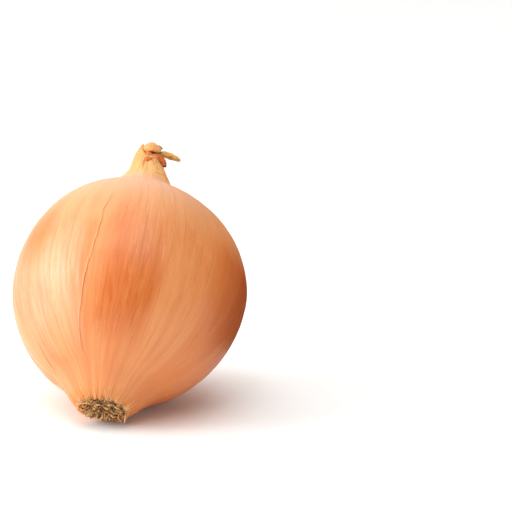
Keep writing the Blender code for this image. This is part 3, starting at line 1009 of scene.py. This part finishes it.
def dried_leaf(name, rows, along_count, across_count, wrinkle, thickness, material, node="neck_tips"):
    """A dried scrap of leaf through a small grid of points (rows run across it), wrinkled lengthwise."""
    rows = [smooth_path([Vector(point) / 10 for point in row], across_count) for row in rows]
    columns = [smooth_path([row[j] for row in rows], along_count) for j in range(across_count)]
    matrix = neck_matrix()
    key = sum(ord(letter) for letter in name) * 0.37
    points = []
    for i in range(along_count):
        line = []
        for j in range(across_count):
            ahead = columns[j][min(i + 1, along_count - 1)] - columns[j][max(i - 1, 0)]
            aside = columns[min(j + 1, across_count - 1)][i] - columns[max(j - 1, 0)][i]
            across, along = j / (across_count - 1), i / (along_count - 1)
            rise = 0
            for waves_across, waves_along, row, share in LEAF_WRINKLES:
                at = Vector((across * waves_across, along * waves_along, key + row))
                rise += share * noise.noise(at)
            end = 0.35 * noise.noise(Vector((across * 6, key, 2))) * smoothstep(0.75, 1.0, along)
            shift = ahead.cross(aside).normalized() * (rise * wrinkle) + ahead.normalized() * end
            line.append(matrix @ ((columns[j][i] + shift) / 1000))
        points.append(line)
    piece = solid_sheet(name, points, thickness / 1000, material)
    add_uv(piece, along_count, across_count)
    stands_for(piece, node)


def add_uv(piece, along_count, across_count):
    """UV across and along the sheet, for both of its sides."""
    layer = piece.data.uv_layers.new(name="UVMap")
    side = along_count * across_count
    for loop in piece.data.loops:
        index = loop.vertex_index % side
        row, column = divmod(index, across_count)
        layer.data[loop.index].uv = (column / (across_count - 1), row / (along_count - 1))


HOOD = (
    ((-6, 24, -8), (8, 28, -8), (24, 24, -8)),
    ((-14, 17, 20), (9, 29, 24), (32, 17, 24)),
    ((-22, 8, 37), (8, 22, 53), (36, 8, 43)),
    ((-27, -4, 43), (4, 4, 69), (38, -2, 48)),
    ((-27, -15, 39), (3, -14, 64), (38, -14, 45)),
    ((-24, -24, 24), (5, -31, 39), (35, -23, 29)),
    ((-18, -23, 18), (8, -31, 24), (31, -22, 23)),
    ((-13, -17, 19), (9, -22, 23), (27, -17, 24)),
)
LOWER_LIP = (
    ((-16, -16, -16), (-2, -24, -16), (16, -26, -16)),
    ((-19, -22, -2), (-4, -33, -2), (14, -32, -2)),
    ((-18, -23, 14), (-6, -33, 10), (10, -33, 7)),
    ((-13, -19, 22), (-3, -28, 17), (12, -28, 11)),
    ((-9, -12, 20), (-1, -19, 16), (12, -20, 12)),
)
TONGUE_TOP = (
    ((-10, -43, -42), (8, -49, -42), (28, -49, -42), (46, -39, -44)),
    ((-9, -40, -26), (8, -46, -24), (27, -45, -24), (43, -36, -28)),
    ((-5, -38, -16), (9, -42, -10), (27, -41, -9), (41, -33, -14)),
    ((0, -41, -15), (10, -44, -7), (26, -43, -6), (39, -36, -11)),
    ((2, -46, -20), (11, -49, -13), (25, -48, -12), (38, -40, -16)),
)
LEFT_FOLD = (
    ((-9, -43, -11), (-2, -47, -12), (9, -49, -14)),
    ((-14, -50, -24), (-4, -56, -23), (12, -57, -23)),
    ((-16, -52, -38), (-8, -58, -36), (4, -57, -32)),
    ((-16, -53, -52), (-10, -58, -51), (-3, -57, -48)),
    ((-13, -55, -66), (-10, -58, -65), (-7, -58, -64)),
)
HOOK = (
    ((2, -16, -9), (2, -26, 1), (2, -36, -4), (2, -34, -12)),
    ((18, -20, -2), (18, -32, 9), (18, -44, 1), (18, -41, -11)),
    ((35, -21, -1), (38, -33, 9), (36, -45, -2), (32, -41, -14)),
    ((48, -20, -9), (56, -30, -3), (51, -42, -12), (43, -38, -20)),
    ((52, -20, -20), (64, -28, -17), (59, -39, -23), (50, -36, -26)),
    ((54, -22, -30), (65, -28, -30), (62, -36, -33), (55, -35, -33)),
)
FLAKE = (
    ((2, 9, 66), (6, 0, 65), (8, -9, 61)),
    ((19, 11, 71), (20, 2, 67), (22, -7, 57)),
    ((32, 10, 69), (33, 2, 63), (32, -6, 53)),
    ((43, 7, 60), (41, 2, 56), (39, -4, 50)),
)


def neck_tips():
    """The scraps that close the neck: a hood folded over it, torn lips, a hooked curl and a flake."""
    lips = tip_material("torn_lips")
    dried_leaf("hood", HOOD, 60, 40, 0.16, 0.3, tip_material("knob_tissue"))
    dried_leaf("lower_lip", LOWER_LIP, 30, 30, 0.12, 0.28, lips)
    dried_leaf("tongue_roll", TONGUE_TOP, 36, 48, 0.1, 0.3, tip_material("tongue_top"), "bulb")
    dried_leaf("left_fold", LEFT_FOLD, 36, 24, 0.14, 0.28, lips, "bulb")
    dried_leaf("hook_curl", HOOK, 48, 28, 0.1, 0.28, tip_material("hook_tissue"))
    dried_leaf("neck_flake", FLAKE, 36, 20, 0.1, 0.22, tip_material("olive_flake"))


# The leaf stump: its middle line, its radius in millimetres and how that swells along it
STUB = ((24, 9, 24), (40, 4, 32), (54, 1, 34), (76, 0, 31), (94, 0, 27), (110, 0, 22))
STUB_RADIUS = 1.12
STUB_SWELL = ((0, 0.85), (0.3, 1.05), (0.6, 1.1), (0.85, 0.76), (0.97, 0.48), (1, 0.3))
STUB_ROWS, STUB_COLUMNS = 70, 56


def stub_ring(middle, ahead, share):
    """The points of one ring of the stump, round its middle line."""
    back = Vector((0, 1, 0))
    up = ahead.cross(back).normalized() * -1
    ring = []
    for j in range(STUB_COLUMNS):
        angle = tau * j / STUB_COLUMNS
        cosine, sine = cos(angle), sin(angle)
        ridges = 0.08 * cos(7 * angle + 1.2 * share) + 0.04 * cos(17 * angle + 2 * share)
        fold = 0.34 * exp(-(((angle - 3.9) / 0.35) ** 2)) * smoothstep(0.05, 0.4, share)
        rough = 0.1 * noise.noise(Vector((cosine * 2, sine * 2, share * 7)))
        size = STUB_RADIUS * between(STUB_SWELL, share) * (1 + ridges + rough - fold)
        tatter = 0.5 * noise.noise(Vector((cosine * 3, sine * 3, 3))) * smoothstep(0.8, 1, share)
        ring.append(middle + back * (cosine * size * 0.85) + up * (sine * size) + ahead * tatter)
    return ring


def leaf_stub():
    """The stump of a dried leaf: a tube pressed flat, folded and ridged along, with a torn end."""
    spine = smooth_path([Vector(point) / 10 for point in STUB], STUB_ROWS)
    matrix = neck_matrix()
    bm = bmesh.new()
    rings = []
    for i, middle in enumerate(spine):
        ahead = (spine[min(i + 1, STUB_ROWS - 1)] - spine[max(i - 1, 0)]).normalized()
        ring = stub_ring(middle, ahead, i / (STUB_ROWS - 1))
        rings.append([bm.verts.new(matrix @ (point / 1000)) for point in ring])
    join(bm, rings, closed=True)
    for ring in (rings[0], rings[-1]):
        middle = bm.verts.new(sum((vertex.co for vertex in ring), Vector()) / STUB_COLUMNS)
        for j in range(STUB_COLUMNS):
            bm.faces.new((ring[j], ring[(j + 1) % STUB_COLUMNS], middle))
    bmesh.ops.recalc_face_normals(bm, faces=bm.faces)
    piece = object_from("leaf_stump", bm, tip_material("stub_tissue"))
    piece.data.shade_smooth()
    layer = piece.data.uv_layers.new(name="UVMap")
    for loop in piece.data.loops:
        index = min(loop.vertex_index, STUB_ROWS * STUB_COLUMNS - 1)
        row, column = divmod(index, STUB_COLUMNS)
        across = 0.5 + 0.45 * sin(tau * column / STUB_COLUMNS)
        layer.data[loop.index].uv = (across, row / (STUB_ROWS - 1) * 0.9)
    stands_for(piece, "leaf_stub")


# Table, light and camera


def floor():
    bm = bmesh.new()
    bmesh.ops.create_grid(bm, x_segments=1, y_segments=1, size=TABLE_REACH)
    made = object_from("table_top", bm, floor_material())


def direction(turn, elevation):
    """A direction from the onion: turn degrees to the right of the camera's, and up."""
    around = CAMERA_TURN + radians(turn)
    up = radians(elevation)
    return Vector((sin(around) * cos(up), -cos(around) * cos(up), sin(up)))


def softbox(name, turn, elevation, distance, size, radiance):
    """A rectangular lamp facing the onion."""
    data = bpy.data.lights.new(name, "AREA")
    data.shape = "RECTANGLE"
    data.size, data.size_y = size
    data.energy = radiance * pi * size[0] * size[1]
    made = new_object(name, data)
    way = direction(turn, elevation)
    made.location = MIDDLE + way * distance
    made.rotation_euler = way.to_track_quat("Z", "Y").to_euler()
    made.visible_camera = False


# The warm card, in metres and degrees
CARD_DISTANCE = 0.056
CARD_HEIGHT = 0.08
CARD_TURNS = (58, 172)
CARD_STEPS = 32
CARD_FOOT = (0.1, 0.02, 0.003)
CARD_TOP = (0.42, 0.12, 0.025)


def warm_card():
    """A curved warm card at the right that only reflections see: a painted dark reflection that keeps the
    skin deep there.
    """
    first, last = CARD_TURNS
    bm = bmesh.new()
    columns = []
    for step in range(CARD_STEPS + 1):
        way = direction(first + (last - first) * step / CARD_STEPS, 0) * CARD_DISTANCE
        columns.append([bm.verts.new((way.x, way.y, z)) for z in (0.001, CARD_HEIGHT)])
    join(bm, columns)
    surface = Surface("warm_card")
    fade = surface.parts(surface.place())[2].smooth(0.0, CARD_HEIGHT)
    surface.give("Base Color", surface.mix(fade, CARD_FOOT, CARD_TOP))
    made = object_from("warm_card", bm, surface.material)
    made.visible_camera = False
    made.visible_diffuse = False
    made.visible_shadow = False


# The room's light. The dark opening ends between two angles, in degrees from its middle
ROOM_LIGHT = 0.86
OPENING_LIGHT = 0.3
OPENING_ENDS = (58, 28)
RIGHT_DIMMED = 0.88
ROOM_TINT = (1.0, 0.995, 0.985)
RIGHT_TINT = (1.0, 0.58, 0.38)
CEILING = 1.35


def world():
    """A white room, with a dark opening behind the camera that keeps the skin's middle deep."""
    made = bpy.data.worlds.new("white_room")
    made.use_nodes = True
    bpy.context.scene.world = made
    tree = Tree(made.node_tree)
    way = tree.add("ShaderNodeTexCoord", out="Generated")
    low, high = (cos(radians(degrees)) for degrees in OPENING_ENDS)
    level = tree.dot(way, direction(10, 5)).smooth(low, high, ROOM_LIGHT, OPENING_LIGHT)
    right = tree.dot(way, direction(95, 5)).smooth(0.1, 0.9)
    level = level * (1 - right * RIGHT_DIMMED)
    level = level * tree.parts(way)[2].smooth(0.25, 0.75, 1.0, CEILING)
    colour = tree.mix(right, ROOM_TINT, RIGHT_TINT)
    background = made.node_tree.nodes["Background"]
    made.node_tree.links.new(colour.socket, background.inputs["Color"])
    made.node_tree.links.new(level.socket, background.inputs["Strength"])


def camera():
    """The photo's camera, turned so that the bulb's middle falls where it does in the photo."""
    focal = RADIUS_IN_PIXELS / tan(asin(RADIUS / CAMERA_DISTANCE))
    data = bpy.data.cameras.new("camera")
    data.lens = focal / PICTURE_SIZE * data.sensor_width
    data.clip_start = 0.01
    made = new_object("camera", data)
    way = direction(0, CAMERA_ELEVATION)
    made.location = MIDDLE + way * CAMERA_DISTANCE
    half = PICTURE_SIZE / 2
    ray = Vector(((MIDDLE_AT[0] - half) / focal, (half - MIDDLE_AT[1]) / focal, -1.0)).normalized()
    off_centre = Vector((0, 0, -1)).rotation_difference(ray).inverted()
    made.rotation_euler = (way.to_track_quat("Z", "Y") @ off_centre).to_euler()
    bpy.context.scene.camera = made


def lights():
    world()
    softbox("left_window", turn=-84, elevation=18, distance=1.35, size=(0.72, 1.0), radiance=6.1)
    softbox("overhead", turn=14, elevation=68, distance=1.4, size=(1.1, 1.1), radiance=2.2)
    softbox("right_strip", turn=46, elevation=16, distance=1.4, size=(0.14, 0.9), radiance=1.5)
    warm_card()


def main():
    skin = bulb_skin(skin_material("onion_skin", False))
    outermost = skin_material("outermost_skin", True)
    torn_skin("torn_skin_left", skin, LEFT_TEAR, -1, 26, 0.5, outermost)
    torn_skin("torn_skin_right", skin, RIGHT_TEAR, 1, 24, 0.12, outermost)
    root_paper = root_material()
    root_plate(root_paper)
    collar_scraps()
    roots(root_paper)
    neck_tips()
    leaf_stub()
    floor()
    lights()
    camera()
    bpy.context.scene.view_settings.view_transform = "Standard"


main()
